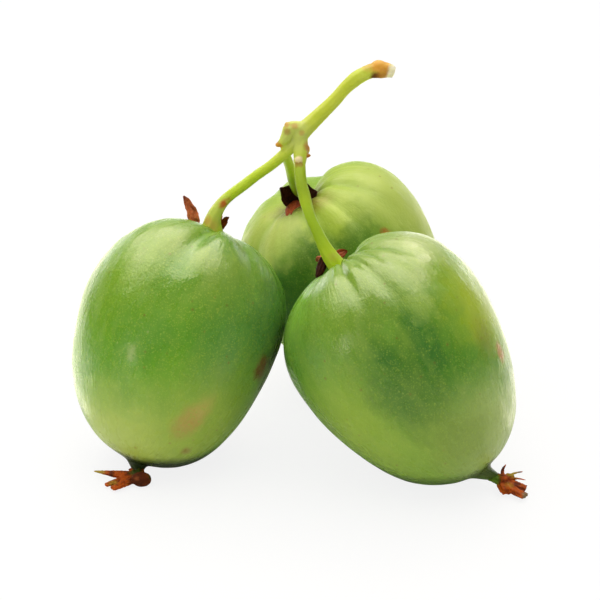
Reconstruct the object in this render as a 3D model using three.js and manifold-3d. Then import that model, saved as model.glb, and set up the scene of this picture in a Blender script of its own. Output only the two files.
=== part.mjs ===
// A cluster of three kiwi berries (hardy kiwi) on one cut stalk, in millimetres, +Z up.
// The smooth berries stand as a tripod: each leans its stem end towards the middle, where the
// pedicels meet the stalk, and rests on a small flat spot of its own at z = 0.
// The origin is at the centre of the cluster's footprint, on the surface it stands on.

import * as THREE from 'three';
import { mergeVertices } from 'three/addons/utils/BufferGeometryUtils.js';
import Module from 'manifold-3d';

const wasm = await Module();
wasm.setup();

// ---- Driving dimensions ----

const BERRY_SIDES = 44; // faces round a berry
const BERRY_RINGS = 24; // rings from stem end to tip
const POLE_TOLERANCE = 1e-6; // a point this close to an end, as a share of the way, is the pole
const POLE_CROWDING = 0.8; // how strongly the rings gather at the two ends, 0 to 1
const WAIST_POWER = 0.95; // below 1 fills out the two ends a little more than an ellipse
const BEAK_RADIUS = 0.95; // short green neck at the tip, under the dried styles
const BEAK_POWER = 6; // how steeply the neck's sides leave the tip
const CREASE_POLE_RADIUS = 2.2; // the creases die away this close to the axis
const CREASE_POWER = 4; // how suddenly a crease ends at its reach

// Each berry: centre, lean of its axis from upright and the heading its stem end leans to,
// length, waist radius, shoulder (stem end wider than tip), fullness, a slight sideways bow,
// the beak's reach in the berry's own axes, and the creases that run down from the stem end.
// crease: [angle round the axis, half width, depth, reach], in degrees, degrees, mm, degrees,
// and one with a negative depth is a swelling.
const BERRIES = {
  left: {
    centre: [-13.45, 3.4, 13.07],
    lean: 31.5,
    heading: 48.6,
    length: 27.5,
    radius: 11.18,
    shoulder: 0.12,
    fullness: 0.16,
    bow: 0.74,
    bowHeading: 129,
    beak: [-0.54, -0.94, -0.86],
    cavity: { depth: 1.2, radius: 2.6 },
    creases: [
      [203, 9, 0.7, 50],
      [163, 30, -0.5, 46],
      [222, 24, -0.45, 40],
      [253, 10, 0.26, 55],
      [305, 14, 0.3, 45],
      [12, 14, 0.34, 50],
      [76, 13, 0.26, 45],
      [128, 12, 0.3, 50],
    ],
  },
  right: {
    centre: [12.0, -1.3, 12.81],
    lean: 39.3,
    heading: 150.3,
    length: 28.2,
    radius: 11.37,
    shoulder: 0.206,
    fullness: 0.152,
    bow: 0.15,
    bowHeading: 28,
    beak: [-0.81, -0.73, -1.44],
    cavity: { depth: 1.2, radius: 2.1 },
    creases: [
      [123, 7, 0.3, 50],
      [141, 7, 0.3, 58],
      [157, 7, 0.26, 60],
      [132, 34, -0.25, 40],
      [174, 8, 0.45, 46],
      [215, 28, -0.5, 42],
      [250, 13, 0.3, 45],
      [300, 14, 0.3, 45],
      [352, 13, 0.3, 50],
      [70, 13, 0.26, 45],
    ],
  },
  back: {
    centre: [6.35, 22.75, 12.8],
    lean: 30.5,
    heading: 186.2,
    length: 26.9,
    radius: 11.15,
    shoulder: 0.19,
    fullness: 0.16,
    bow: -0.66,
    bowHeading: 158,
    beak: [-0.48, 0, -0.98],
    cavity: { depth: 2.0, radius: 3.2 },
    creases: [
      [96, 11, 0.36, 60],
      [122, 7, 0.24, 70],
      [148, 8, 0.3, 70],
      [240, 23, 1.9, 42],
      [300, 14, 0.3, 50],
      [30, 13, 0.34, 55],
    ],
  },
};

// The stalk: hub where the pedicels part, then each limb as a path with its radius at each point.
const HUB = [-0.1, 10.5, 35.3];
const STALK_SIDES = 12;
const LIMBS = {
  peduncle: {
    path: [
      HUB, [1.78, 10.7, 37.15], [3.75, 11.0, 39.1], [4.88, 11.2, 40.4], [6.05, 11.4, 41.45],
      [7.8, 11.6, 42.35], [8.9, 11.7, 42.45], [9.7, 11.8, 42.35], [10.35, 11.8, 42.1],
    ],
    radii: [1.0, 0.84, 0.74, 0.72, 0.8, 0.8, 0.92, 0.8, 0.62],
    rings: 20,
  },
  left_pedicel: {
    path: [
      HUB, [-1.1, 10.3, 33.75], [-3.1, 9.9, 32.0], [-4.75, 9.6, 30.87], [-6.25, 9.3, 29.75],
      [-7.6, 9.0, 28.8], [-8.5, 8.8, 28.0], [-9.1, 8.6, 27.2], [-9.5, 8.4, 26.5], [-9.6, 8.35, 26.0],
    ],
    radii: [0.85, 0.66, 0.58, 0.58, 0.6, 0.6, 0.64, 0.72, 0.84, 0.92],
    rings: 22,
  },
  right_pedicel: {
    path: [
      HUB, [0.06, 9.6, 33.7], [0.0, 8.6, 32.4], [0.13, 7.2, 30.95], [0.8, 5.45, 28.7],
      [1.93, 3.95, 26.35], [2.6, 3.35, 25.1], [3.5, 2.95, 23.75],
    ],
    radii: [0.95, 0.78, 0.64, 0.64, 0.64, 0.66, 0.74, 0.9],
    rings: 22,
  },
  back_pedicel: {
    path: [
      [-1.5, 10.5, 32.9], [-1.43, 12.2, 31.4], [-1.23, 14.6, 29.45], [-0.91, 17.6, 27.05],
      [-0.25, 20.9, 24.3],
    ],
    radii: [0.6, 0.58, 0.55, 0.52, 0.6],
    rings: 16,
  },
  bract: {
    path: [[0.0, 10.5, 36.0], [-0.7, 10.4, 36.15], [-1.45, 10.2, 35.3], [-2.3, 10.05, 34.3]],
    radii: [0.85, 0.8, 0.68, 0.3],
    rings: 10,
  },
};

// Small round swellings of the stalk: the hub, the scar over the right pedicel's joint, the web
// under the bract and the callus at the cut end.
const KNOB = [12, 8]; // sides and rings of a swelling
const SWELLINGS = {
  hub: { centre: HUB, size: [0.98, 0.95, 0.98] },
  scar: { centre: [-0.2, 8.6, 33.0], size: [0.55, 0.5, 0.45] },
  web: { centre: [-1.55, 10.25, 34.0], size: [0.65, 0.5, 0.75] },
  callus: { centre: [8.65, 11.7, 42.97], size: [0.85, 0.75, 0.65] },
};

// Dried sepals that stay round each pedicel: root, middle and tip of the midrib, the way the
// blade faces, and its widest half width.
const SEPAL_THICKNESS = 0.3;
const SEPAL_NARROWING = { root: 0.55, tip: 0.35 }; // share of the half width left at its two ends
const SEPALS = {
  left: [
    {
      midrib: [[-11.75, 9.3, 25.5], [-12.15, 9.6, 26.75], [-12.85, 10.0, 28.1]],
      facing: [0.2, -1, 0.4],
      halfWidth: 0.7,
    },
    {
      midrib: [[-8.15, 9.5, 25.0], [-7.95, 9.4, 25.6], [-7.7, 9.3, 26.3]],
      facing: [0.3, -1, 0.3],
      halfWidth: 0.4,
    },
    {
      midrib: [[-9.3, 10.4, 24.9], [-9.2, 11.2, 25.4], [-8.9, 11.9, 26.3]],
      facing: [0, -1, 1],
      halfWidth: 0.65,
    },
  ],
  right: [
    {
      midrib: [[1.8, 3.0, 23.4], [1.5, 2.6, 22.6], [1.2, 2.2, 21.8]],
      facing: [-0.5, -1, 0.6],
      halfWidth: 0.6,
    },
    {
      midrib: [[4.1, 4.7, 23.5], [4.5, 5.2, 23.8], [5.0, 5.7, 24.1]],
      facing: [-0.3, -1, 0.8],
      halfWidth: 0.5,
    },
    {
      midrib: [[2.7, 4.7, 23.1], [2.2, 5.2, 22.8], [1.8, 5.7, 22.1]],
      facing: [-0.5, 0.5, 1],
      halfWidth: 0.6,
    },
  ],
  back: [
    {
      midrib: [[-1.4, 20.6, 24.2], [-1.85, 20.1, 24.6], [-2.55, 19.3, 25.1]],
      facing: [-0.3, -1, 0.6],
      halfWidth: 1.2,
    },
    {
      midrib: [[-0.6, 19.2, 24.0], [-0.8, 18.2, 23.7], [-1.1, 17.1, 23.1]],
      facing: [0, -0.4, 1],
      halfWidth: 0.7,
    },
    {
      midrib: [[1.15, 20.5, 25.15], [1.5, 20.1, 25.5], [2.0, 19.6, 25.9]],
      facing: [0.3, -1, 0.4],
      halfWidth: 1.0,
    },
    {
      midrib: [[0.2, 23.2, 24.5], [0.15, 23.7, 25.0], [0.1, 24.2, 25.5]],
      facing: [0, -1, 0.8],
      halfWidth: 0.45,
    },
  ],
};

// Dried styles at each tip: a collar under the beak, and withered styles from it, each with its
// middle and end, its half width at root and end, and how flat it is (thickness over width).
const STYLE_TUFTS = {
  left: {
    collar: { centre: [-17.85, -4.65, 0.75], size: [0.95, 0.6, 0.5] },
    styles: [
      { path: [[-20.4, -3.9, 0.65], [-22.85, -3.3, 0.72]], root: 0.75, end: 0.1, flatness: 0.5 },
      { path: [[-19.8, -5.2, 0.5], [-21.5, -6.2, 0.38]], root: 0.65, end: 0.25, flatness: 0.5 },
      { path: [[-19.2, -5.7, 0.5], [-20.5, -7.0, 0.38]], root: 0.65, end: 0.3, flatness: 0.5 },
      { path: [[-17.75, -5.3, 0.8], [-17.6, -5.95, 0.8]], root: 0.85, end: 0.75, flatness: 0.75 },
      { path: [[-17.1, -5.0, 0.7], [-16.8, -5.4, 0.6]], root: 0.5, end: 0.3, flatness: 0.7 },
    ],
  },
  right: {
    collar: { centre: [22.4, -6.5, 1.05], size: [0.7, 0.85, 0.8] },
    styles: [
      { path: [[22.3, -5.4, 1.8], [22.7, -4.6, 2.2]], root: 0.3, end: 0.1, flatness: 0.7 },
      { path: [[23.4, -5.75, 1.6], [24.55, -5.15, 1.6]], root: 0.4, end: 0.08, flatness: 0.6 },
      { path: [[23.6, -6.35, 1.35], [24.85, -6.3, 1.15]], root: 0.4, end: 0.08, flatness: 0.6 },
      { path: [[22.9, -6.3, 1.5], [23.45, -6.1, 1.5]], root: 0.55, end: 0.5, flatness: 0.6 },
      { path: [[23.5, -7.0, 0.95], [24.95, -7.35, 0.65]], root: 0.6, end: 0.4, flatness: 0.55 },
      { path: [[23.2, -7.7, 0.75], [24.7, -9.1, 0.42]], root: 0.6, end: 0.35, flatness: 0.55 },
      { path: [[22.4, -7.0, 0.8], [22.85, -7.75, 0.6]], root: 0.65, end: 0.55, flatness: 0.6 },
    ],
  },
  back: {
    collar: { centre: [15.45, 23.2, 0.8], size: [0.75, 0.85, 0.55] },
    styles: [
      { path: [[15.5, 22.0, 0.6], [16.0, 20.6, 0.42]], root: 0.45, end: 0.12, flatness: 0.6 },
      { path: [[16.2, 22.6, 0.7], [17.5, 22.0, 0.6]], root: 0.45, end: 0.1, flatness: 0.6 },
      { path: [[16.3, 23.2, 0.65], [17.9, 23.5, 0.42]], root: 0.5, end: 0.26, flatness: 0.6 },
      { path: [[16.1, 24.0, 0.65], [17.2, 25.0, 0.45]], root: 0.5, end: 0.18, flatness: 0.6 },
      { path: [[15.5, 24.3, 0.65], [15.9, 25.6, 0.42]], root: 0.5, end: 0.3, flatness: 0.6 },
    ],
  },
};
const SWEEP_SIDES = 8; // faces round a sepal or a style
const SWEEP_RINGS = 6;

// ---- Materials ----

const surface = (color, roughness) => new THREE.MeshStandardMaterial({ color, roughness, metalness: 0 });
const SKIN = { left: '#6c9531', right: '#517e2e', back: '#a5bb50' };
const STALK_COLOUR = '#b4c052';
const SEPAL_COLOUR = '#6b3a22';
const STYLE_COLOUR = '#83552f';

// ---- Solids and meshes ----

const WELD_DISTANCE = 1e-4;

// Leaves only the positions of a geometry, with the vertices that share a place made one.
function weld(geometry) {
  const bare = geometry.clone();
  bare.deleteAttribute('normal');
  bare.deleteAttribute('uv');
  return mergeVertices(bare, WELD_DISTANCE);
}

function toSolid(geometry) {
  const welded = weld(geometry);
  return new wasm.Manifold(new wasm.Mesh({
    numProp: 3,
    vertProperties: welded.attributes.position.array,
    triVerts: new Uint32Array(welded.index.array),
  }));
}

function toGeometry(solid) {
  const { vertProperties, triVerts } = solid.getMesh();
  const geometry = new THREE.BufferGeometry();
  geometry.setAttribute('position', new THREE.BufferAttribute(vertProperties, 3));
  geometry.setIndex(new THREE.BufferAttribute(triVerts, 1));
  geometry.computeVertexNormals();
  return geometry;
}

const joined = (geometries) => toGeometry(geometries.map(toSolid).reduce((all, next) => all.add(next)));

// Moves every vertex of a geometry to move(vertex), and returns the geometry.
function reshape(geometry, move) {
  const { position } = geometry.attributes;
  const vertex = new THREE.Vector3();
  for (let i = 0; i < position.count; i += 1) {
    move(vertex.fromBufferAttribute(position, i));
    position.setXYZ(i, vertex.x, vertex.y, vertex.z);
  }
  return geometry;
}

const blend = THREE.MathUtils.lerp;
const radians = THREE.MathUtils.degToRad;
const UP = new THREE.Vector3(0, 0, 1);

// The value at t, 0 to 1, of a list of evenly spaced values joined smoothly.
function along(values, t) {
  const place = t * (values.length - 1);
  const step = Math.min(Math.floor(place), values.length - 2);
  return blend(values[step], values[step + 1], THREE.MathUtils.smoothstep(place - step, 0, 1));
}

// Frames along a curve that start out square to the way it faces, and turn only as much as the
// curve makes them.
function framesAlong(curve, rings, facing) {
  const frames = [];
  let across = new THREE.Vector3().crossVectors(curve.getTangentAt(0), facing);
  for (let step = 0; step <= rings; step += 1) {
    const tangent = curve.getTangentAt(step / rings);
    across = across.clone().projectOnPlane(tangent).normalize();
    frames.push({ across, through: new THREE.Vector3().crossVectors(tangent, across) });
  }
  return frames;
}

// A closed bar that follows a curve: an upright cylinder whose rings are carried along it.
// halfWidth(t) and halfThickness(t) give its section, whose thickness lies the way it faces.
function sweep({ curve, sides, rings, halfWidth, halfThickness = halfWidth, facing = UP }) {
  const frames = framesAlong(curve, rings, facing);
  const bar = new THREE.CylinderGeometry(1, 1, 1, sides, rings).rotateX(Math.PI / 2);
  return reshape(bar, (vertex) => {
    const step = Math.round((vertex.z + 0.5) * rings);
    const t = step / rings;
    const { across, through } = frames[step];
    const [w, h] = [vertex.x * halfWidth(t), vertex.y * halfThickness(t)];
    vertex.copy(curve.getPointAt(t)).addScaledVector(across, w).addScaledVector(through, h);
  });
}

function curveThrough(points) {
  return new THREE.CatmullRomCurve3(points.map((point) => new THREE.Vector3(...point)));
}

// ---- Berries ----

// How far in, as a share of the distance to the centre, the creases press the skin at a point.
function creasing(berry, polar, around, ring) {
  const nearPole = 1 - Math.exp(-((ring / CREASE_POLE_RADIUS) ** 2));
  const press = berry.creases.reduce((sum, [angle, halfWidth, depth, reach]) => {
    const off = THREE.MathUtils.euclideanModulo(around - radians(angle) + Math.PI, 2 * Math.PI) - Math.PI;
    const fade = Math.exp(-((polar / radians(reach)) ** CREASE_POWER));
    return sum + depth * fade * Math.exp(-((off / radians(halfWidth)) ** 2));
  }, 0);
  return (nearPole * press) / berry.radius;
}

// Carries a point of the unit sphere, +Z at the stem end, to the skin of a berry.
function toSkin(berry, vertex) {
  const share = Math.acos(THREE.MathUtils.clamp(vertex.z, -1, 1)) / Math.PI;
  const polar = Math.PI * share - (POLE_CROWDING / 2) * Math.sin(2 * Math.PI * share);
  const around = Math.atan2(vertex.y, vertex.x);
  const c = Math.cos(polar);
  const s = Math.max(Math.sin(polar), 0);
  const profile = 1 + berry.shoulder * c + berry.fullness * c * c;
  const atPole = Math.min(share, 1 - share) < POLE_TOLERANCE;
  const ring = atPole ? 0 : berry.radius * s ** WAIST_POWER * profile;
  const cavity = c > 0 ? berry.cavity.depth * Math.exp(-((ring / berry.cavity.radius) ** 2)) : 0;
  const kept = 1 - creasing(berry, polar, around, ring);
  const bow = berry.bow * s * s;
  const beak = c < 0 ? 1 / (1 + (ring / BEAK_RADIUS) ** BEAK_POWER) : 0;
  vertex.set(
    kept * ring * Math.cos(around) + bow * Math.cos(radians(berry.bowHeading)) + beak * berry.beak[0],
    kept * ring * Math.sin(around) + bow * Math.sin(radians(berry.bowHeading)) + beak * berry.beak[1],
    kept * ((berry.length / 2) * c - cavity) + beak * berry.beak[2],
  );
}

function makeBerry(name, berry) {
  const ball = new THREE.SphereGeometry(1, BERRY_SIDES, BERRY_RINGS).rotateX(Math.PI / 2);
  const skin = reshape(ball, (vertex) => toSkin(berry, vertex));
  const mesh = new THREE.Mesh(skin, surface(SKIN[name], 0.35));
  mesh.name = `berry_${name}`;
  mesh.position.set(...berry.centre);
  mesh.rotation.set(0, radians(berry.lean), radians(berry.heading), 'ZYX');
  mesh.updateMatrixWorld();

  // The table side: everything below z = 0 is cut off, which leaves the small flat spot.
  const size = 2 * berry.length;
  const [x, y] = berry.centre;
  const below = new THREE.BoxGeometry(size, size, size).translate(x, y, -size / 2);
  below.applyMatrix4(mesh.matrixWorld.clone().invert());
  mesh.geometry = toGeometry(toSolid(skin).subtract(toSolid(below)));
  return mesh;
}

// ---- Stalk ----

function makeLimb({ path, radii, rings }) {
  const curve = curveThrough(path);
  const halfWidth = (t) => along(radii, curve.getUtoTmapping(t));
  return sweep({ curve, sides: STALK_SIDES, rings, halfWidth });
}

function makeStalk() {
  const limbs = Object.values(LIMBS).map(makeLimb);
  const swellings = Object.values(SWELLINGS).map(({ centre, size }) =>
    new THREE.SphereGeometry(1, ...KNOB).scale(...size).translate(...centre));
  const mesh = new THREE.Mesh(joined([...limbs, ...swellings]), surface(STALK_COLOUR, 0.5));
  mesh.name = 'stalk';
  return mesh;
}

// ---- Sepals ----

// The share of a sepal's half width at t, 0 at its root and 1 at its tip: widest before the middle.
function sepalOutline(t) {
  const belly = blend(SEPAL_NARROWING.root, 1, Math.sin(Math.PI * t ** 0.8));
  return belly * blend(1, SEPAL_NARROWING.tip, t ** 3);
}

function makeSepal(name, { midrib, facing, halfWidth }) {
  const leaf = sweep({
    curve: curveThrough(midrib),
    sides: SWEEP_SIDES,
    rings: SWEEP_RINGS,
    facing: new THREE.Vector3(...facing),
    halfWidth: (t) => halfWidth * sepalOutline(t),
    halfThickness: () => SEPAL_THICKNESS / 2,
  });
  const mesh = new THREE.Mesh(leaf, surface(SEPAL_COLOUR, 0.8));
  mesh.name = name;
  return mesh;
}

// ---- Style tufts ----

function makeStyleTuft(name, { collar, styles }) {
  const disc = new THREE.SphereGeometry(1, ...KNOB).scale(...collar.size).translate(...collar.centre);
  const withered = styles.map(({ path, root, end, flatness }) => {
    const halfWidth = (t) => blend(root, end, t);
    return sweep({
      curve: curveThrough([collar.centre, ...path]),
      sides: SWEEP_SIDES,
      rings: SWEEP_RINGS,
      halfWidth,
      halfThickness: (t) => flatness * halfWidth(t),
    });
  });
  const mesh = new THREE.Mesh(joined([disc, ...withered]), surface(STYLE_COLOUR, 0.85));
  mesh.name = `style_tuft_${name}`;
  return mesh;
}

// ---- The cluster ----

const cluster = new THREE.Group();
cluster.add(makeStalk());
for (const side of Object.keys(BERRIES)) {
  cluster.add(makeBerry(side, BERRIES[side]), makeStyleTuft(side, STYLE_TUFTS[side]));
  SEPALS[side].forEach((sepal, i) => cluster.add(makeSepal(`sepal_${side}_${i + 1}`, sepal)));
}

// Moves the cluster sideways, so that the centre of its box is over the origin.
const footprint = new THREE.Box3().setFromObject(cluster, true).getCenter(new THREE.Vector3());
cluster.position.set(-footprint.x, -footprint.y, 0);

const part = new THREE.Group();
part.add(cluster);

export default part;
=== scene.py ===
# %% [markdown]
# # A cluster of three kiwi berries
# Kiwi berries (hardy kiwi) are smooth-skinned fruits the size of a large grape. They ripen in
# small clusters: a cut peduncle forks into three pedicels, each pedicel ends in a ring of
# withered sepals, and each berry still carries a tuft of dried styles at its tip.
# The frame gives every piece its true place and size. This lesson grows the living surfaces
# around it: skin with lenticels and scars, a ridged stalk, papery sepals and curled styles.

# %% Load the frame
import math

import bpy
import numpy as np
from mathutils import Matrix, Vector


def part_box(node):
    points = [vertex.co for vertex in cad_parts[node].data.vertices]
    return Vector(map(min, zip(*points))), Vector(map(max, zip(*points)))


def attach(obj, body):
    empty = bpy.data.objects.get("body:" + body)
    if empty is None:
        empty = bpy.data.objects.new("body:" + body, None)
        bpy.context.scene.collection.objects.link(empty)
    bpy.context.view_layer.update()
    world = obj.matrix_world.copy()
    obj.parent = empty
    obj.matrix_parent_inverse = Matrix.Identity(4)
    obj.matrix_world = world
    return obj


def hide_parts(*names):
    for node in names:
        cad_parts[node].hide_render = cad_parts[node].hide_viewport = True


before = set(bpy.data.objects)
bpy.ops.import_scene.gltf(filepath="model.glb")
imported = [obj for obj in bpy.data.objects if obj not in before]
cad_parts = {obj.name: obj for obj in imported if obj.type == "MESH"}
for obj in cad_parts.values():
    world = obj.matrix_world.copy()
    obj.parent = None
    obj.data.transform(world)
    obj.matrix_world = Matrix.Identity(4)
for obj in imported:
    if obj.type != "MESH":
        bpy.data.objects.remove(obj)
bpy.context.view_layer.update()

# %% [markdown]
# ## Units and colours
# Blender works in metres and in linear light. A berry is easier to describe in millimetres and
# a skin colour in the hexadecimal form that a paint picker shows, so two small helpers turn one
# into the other.

# %% Units and colours
MM = 0.001


def paint(code):
    """A hexadecimal colour, such as #6c9531, as linear red, green, blue and alpha."""
    parts = [int(code[i:i + 2], 16) / 255 for i in (1, 3, 5)]
    linear = [p / 12.92 if p <= 0.04045 else ((p + 0.055) / 1.055) ** 2.4 for p in parts]
    return (*linear, 1.0)


print("skin green in linear light:", [round(v, 3) for v in paint("#6c9531")[:3]])

# %% [markdown]
# ## The camera
# The cluster is looked at from a little above table height, with a long lens from about 40
# centimetres, as small fruit is usually pictured: a long lens keeps the near berry from
# looking swollen. The camera stands on a circle round a point inside the cluster, so its angle
# is two plain numbers, and it looks along +Y.

# %% Camera
CAMERA_ELEVATION = math.radians(24)
CAMERA_DISTANCE = 380 * MM
CAMERA_LENS = 208.4
CAMERA_SENSOR = 36
CLIP_START = 10 * MM
LOOK_AT = Vector((0.147, -10.862, 20.0)) * MM

camera_back = Vector((0, -math.cos(CAMERA_ELEVATION), math.sin(CAMERA_ELEVATION)))
camera = bpy.data.objects.new("camera", bpy.data.cameras.new("camera"))
bpy.context.scene.collection.objects.link(camera)
camera.data.lens = CAMERA_LENS
camera.data.sensor_width = CAMERA_SENSOR
camera.data.clip_start = CLIP_START
camera.location = LOOK_AT + camera_back * CAMERA_DISTANCE
camera.rotation_euler = (math.pi / 2 - CAMERA_ELEVATION, 0, 0)
bpy.context.scene.camera = camera
print("camera stands at", [round(v, 3) for v in camera.location])

# %% [markdown]
# ## Writing rules as arithmetic
# Materials and Geometry Nodes trees are both made of nodes, and both can hold the same Math
# node. A formula of thirty such nodes is unreadable when it is wired by hand, so a small class
# stands for one number in a tree: adding or multiplying two of them adds the Math node and the
# wires. The rules below can then be read as the plain formulas that they are.

# %% Node helpers
def feed(socket, value):
    """Wires a value that a tree works out into a socket, or types a plain value into it."""
    if isinstance(value, Term):
        value = value.source
    if isinstance(value, bpy.types.NodeSocket):
        socket.id_data.links.new(value, socket)
    else:
        socket.default_value = value


def add(tree, kind, inputs=(), **settings):
    """Adds a node. Settings are its own choices, and inputs its sockets by name or number."""
    made = tree.nodes.new(kind)
    for name, value in settings.items():
        setattr(made, name, value)
    for key, value in dict(inputs).items():
        feed(made.inputs[key], value)
    return made


def alter(kind, geometry, inputs=(), **settings):
    """Adds a geometry node that changes a geometry, and gives the changed geometry."""
    inputs = {0: geometry, **dict(inputs)}
    return add(geometry.id_data, f"GeometryNode{kind}", inputs, **settings).outputs[0]


class Term:
    """One number that a node tree works out, and the socket that it comes from."""

    def __init__(self, source):
        self.source = source
        self.tree = source.id_data

    def apply(self, operation, *others):
        values = dict(enumerate((self, *others)))
        return Term(add(self.tree, "ShaderNodeMath", values, operation=operation).outputs[0])

    def __rsub__(self, other):
        return self * -1 + other

    def __neg__(self):
        return self * -1


for method, operation in {"add": "ADD", "sub": "SUBTRACT", "mul": "MULTIPLY", "truediv": "DIVIDE",
                          "pow": "POWER"}.items():
    setattr(Term, f"__{method}__", lambda self, other, name=operation: self.apply(name, other))
print("terms can be added, subtracted, multiplied, divided and raised to a power")

# %% Vectors, bells, ramps and noise
def split(vector):
    """The three numbers of a vector."""
    parts = add(vector.id_data, "ShaderNodeSeparateXYZ", {0: vector})
    return [Term(output) for output in parts.outputs]


def combine(*parts):
    """A vector made of three numbers, at least one of which a tree works out."""
    tree = next(part.tree for part in parts if isinstance(part, Term))
    return add(tree, "ShaderNodeCombineXYZ", dict(enumerate(parts))).outputs[0]


def vector_math(operation, *vectors):
    """One Vector Math node, which gives a vector, or the number of a distance."""
    inputs = dict(enumerate(vectors))
    made = add(vectors[0].id_data, "ShaderNodeVectorMath", inputs, operation=operation)
    return Term(made.outputs["Value"]) if operation == "DISTANCE" else made.outputs["Vector"]


def scaled(vector, amount):
    """A vector times a number."""
    inputs = {0: vector, "Scale": amount}
    return add(vector.id_data, "ShaderNodeVectorMath", inputs, operation="SCALE").outputs["Vector"]


def total(first, *others):
    """The sum of several vectors."""
    for other in others:
        first = vector_math("ADD", first, other)
    return first


def weighed(*pairs):
    """The sum of several vectors, each times its own number."""
    return total(*(scaled(vector, amount) for vector, amount in pairs))


def bell(offset, half_width, power=2):
    """1 where the offset is 0, and nearly 0 past the half width, as a smooth bell."""
    return (-((offset.apply("ABSOLUTE") / half_width) ** power)).apply("EXPONENT")


def ramp(value, start, end, low=0.0, high=1.0):
    """Rises smoothly from low to high as the value goes from start to end, and stays there."""
    inputs = {"Value": value, "From Min": start, "From Max": end, "To Min": low, "To Max": high}
    made = add(value.tree, "ShaderNodeMapRange", inputs, interpolation_type="SMOOTHSTEP")
    return Term(made.outputs["Result"])


def noise(vector, scale, detail=2.0, roughness=0.5, seed=0.0):
    """Soft random hills from 0 to 1 around 0.5, the same ones each time for the same seed."""
    inputs = {"Vector": vector, "W": seed, "Scale": scale, "Detail": detail, "Roughness": roughness}
    made = add(vector.id_data, "ShaderNodeTexNoise", inputs, noise_dimensions="4D")
    return Term(made.outputs["Fac"])


print("helpers ready: bell, ramp and noise")

# %% [markdown]
# ## From a rule to a plain mesh
# A Geometry Nodes tree gets named inputs for its sizes, so the same tree grows big and small
# pieces. Every tree here works in millimetres. It ends by shrinking its result to metres,
# realizing instances and setting the material. The evaluated result is then copied into a plain
# mesh, because a finished piece should not depend on a live modifier.

# %% Tree helpers
def floats(*names):
    """Named sizes that are plain numbers, for the inputs of a tree."""
    return dict.fromkeys(names, "Float")


def new_rule(title, sizes):
    """A Geometry Nodes tree with a geometry in and out, and an input for each named size."""
    tree = bpy.data.node_groups.new(title, "GeometryNodeTree")
    tree.interface.new_socket("Geometry", in_out="INPUT", socket_type="NodeSocketGeometry")
    tree.interface.new_socket("Geometry", in_out="OUTPUT", socket_type="NodeSocketGeometry")
    for name, kind in {**sizes, "Finish": "Material"}.items():
        tree.interface.new_socket(name, in_out="INPUT", socket_type=f"NodeSocket{kind}")
    given = add(tree, "NodeGroupInput").outputs
    terms = {name: Term(given[name]) if kind in ("Float", "Int") else given[name]
             for name, kind in sizes.items()}
    return tree, given, terms


def position(tree):
    """The place of each point that the tree works on."""
    return add(tree, "GeometryNodeInputPosition").outputs[0]


def end_rule(given, geometry):
    """Ends a tree: instances become real and the finish is set."""
    real = alter("RealizeInstances", geometry)
    finished = alter("SetMaterial", real, {"Material": given["Finish"]})
    add(finished.id_data, "NodeGroupOutput", {0: finished})
    return finished.id_data


def close_rule(given, geometry):
    """Ends a tree that grows a finished shape: it becomes metres, with smooth shading."""
    shrunk = alter("Transform", geometry, {"Scale": (MM, MM, MM)})
    return end_rule(given, alter("SetShadeSmooth", shrunk))


print("trees end in metres, at a scale of", MM)

# %% Piece helpers
def new_piece(name, mesh=None):
    """An object at the origin, with an empty mesh unless one is given."""
    piece = bpy.data.objects.new(name, mesh or bpy.data.meshes.new(name))
    bpy.context.scene.collection.objects.link(piece)
    return piece


def set_rule(piece, tree, values):
    """Adds a tree to a piece as a modifier, with its inputs set by their identifiers."""
    modifier = piece.modifiers.new(tree.name, "NODES")
    modifier.node_group = tree
    for item in tree.interface.items_tree:
        if item.in_out == "INPUT" and item.name in values:
            value = values[item.name]
            is_float = item.socket_type == "NodeSocketFloat"
            modifier[item.identifier] = float(value) if is_float else value


def bake(piece):
    """Turns what the modifiers make into the piece's own plain mesh."""
    graph = bpy.context.evaluated_depsgraph_get()
    mesh = bpy.data.meshes.new_from_object(piece.evaluated_get(graph))
    piece.modifiers.clear()
    piece.data = mesh
    return piece


def get_points(piece):
    """The piece's vertices as an array with a row for each."""
    points = np.empty(len(piece.data.vertices) * 3, np.float32)
    piece.data.vertices.foreach_get("co", points)
    return points.reshape(-1, 3).astype(float)


def set_points(piece, points):
    """Puts an array of places back into the piece's vertices."""
    piece.data.vertices.foreach_set("co", points.astype(np.float32).ravel())
    piece.data.update()


def press_flat(points):
    """Lifts the points that would be under the table up to it."""
    points[:, 2] = np.maximum(points[:, 2], 0)
    return points


print("helpers ready: pieces, baking and points")

# %% [markdown]
# ## The berry's shape
# A kiwi berry is a barrel that is fuller at its stem end, sunk where the pedicel enters and
# drawn out to a short neck at its tip. Shallow creases run down from the stem end, and the
# swellings between them are what catches the light. That is a rule, so a sphere is reshaped by
# it: each point's angle from the stem end and its angle round the axis give its new place.
# Sculpting would give the same look, but no number could be changed afterwards.

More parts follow.
